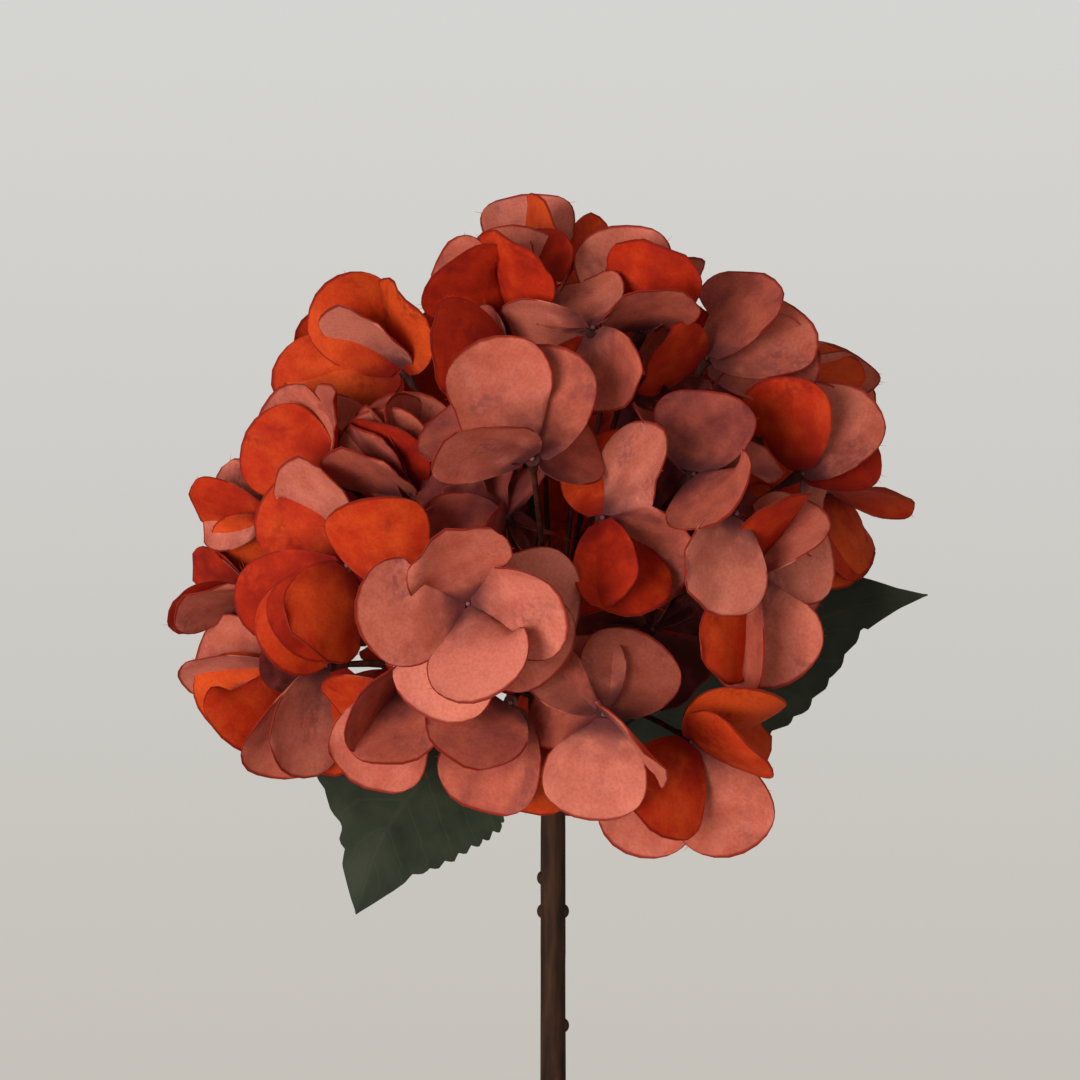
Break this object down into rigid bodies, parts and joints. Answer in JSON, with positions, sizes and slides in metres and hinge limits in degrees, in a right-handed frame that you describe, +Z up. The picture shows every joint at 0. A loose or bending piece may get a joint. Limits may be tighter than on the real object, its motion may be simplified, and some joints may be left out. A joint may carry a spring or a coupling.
{
  "type": "artificial hydrangea in a jar",
  "caption": "Single faux mophead hydrangea on a wired stem with serrated leaves, its florets in two-layered fabric petals, leaning in a plain clear glass jar.",
  "frame": {"origin": "centre of the jar's flat base, on the surface that the jar stands on", "axes": "+Z up along the jar's axis, -Y towards the viewer of the picture, +X to that viewer's right"},
  "size_m": [0.1921, 0.1769, 0.3852],
  "materials": {
    "petals": "matte",
    "leaf": "matte",
    "stem": "matte",
    "glass": "clear, polished"
  },
  "bodies": {
    "root": {"floret_above": "petals", "floret_back1": "petals", "floret_back10": "petals", "floret_back11": "petals", "floret_back13": "petals", "floret_back14": "petals", "floret_back15": "petals", "floret_back16": "petals", "floret_back17": "petals", "floret_back2": "petals", "floret_back3": "petals", "floret_back4": "petals", "floret_back5": "petals", "floret_back6": "petals", "floret_back7": "petals", "floret_back8": "petals", "floret_back9": "petals", "floret_centre": "petals", "floret_crown": "petals", "floret_fill1": "petals", "floret_fill2": "petals", "floret_fill3": "petals", "floret_fill4": "petals", "floret_fill5": "petals", "floret_left1": "petals", "floret_left1b": "petals", "floret_left2": "petals", "floret_left3": "petals", "floret_left4": "petals", "floret_left5": "petals", "floret_leftblade": "petals", "floret_lefttop": "petals", "floret_lowback": "petals", "floret_lowfar": "petals", "floret_lowleft1": "petals", "floret_lowleft2": "petals", "floret_lowleft3": "petals", "floret_lowmid": "petals", "floret_lowright": "petals", "floret_main": "petals", "floret_pocket": "petals", "floret_right1": "petals", "floret_right2": "petals", "floret_right3": "petals", "floret_right4": "petals", "floret_right5": "petals", "floret_right6": "petals", "floret_rightmid": "petals", "floret_topleft": "petals", "floret_topleftlow": "petals", "floret_topmid": "petals", "floret_topright": "petals", "jar": "glass", "leaf_left": "leaf", "leaf_right": "leaf", "stem": "stem"}
  },
  "joints": []
}
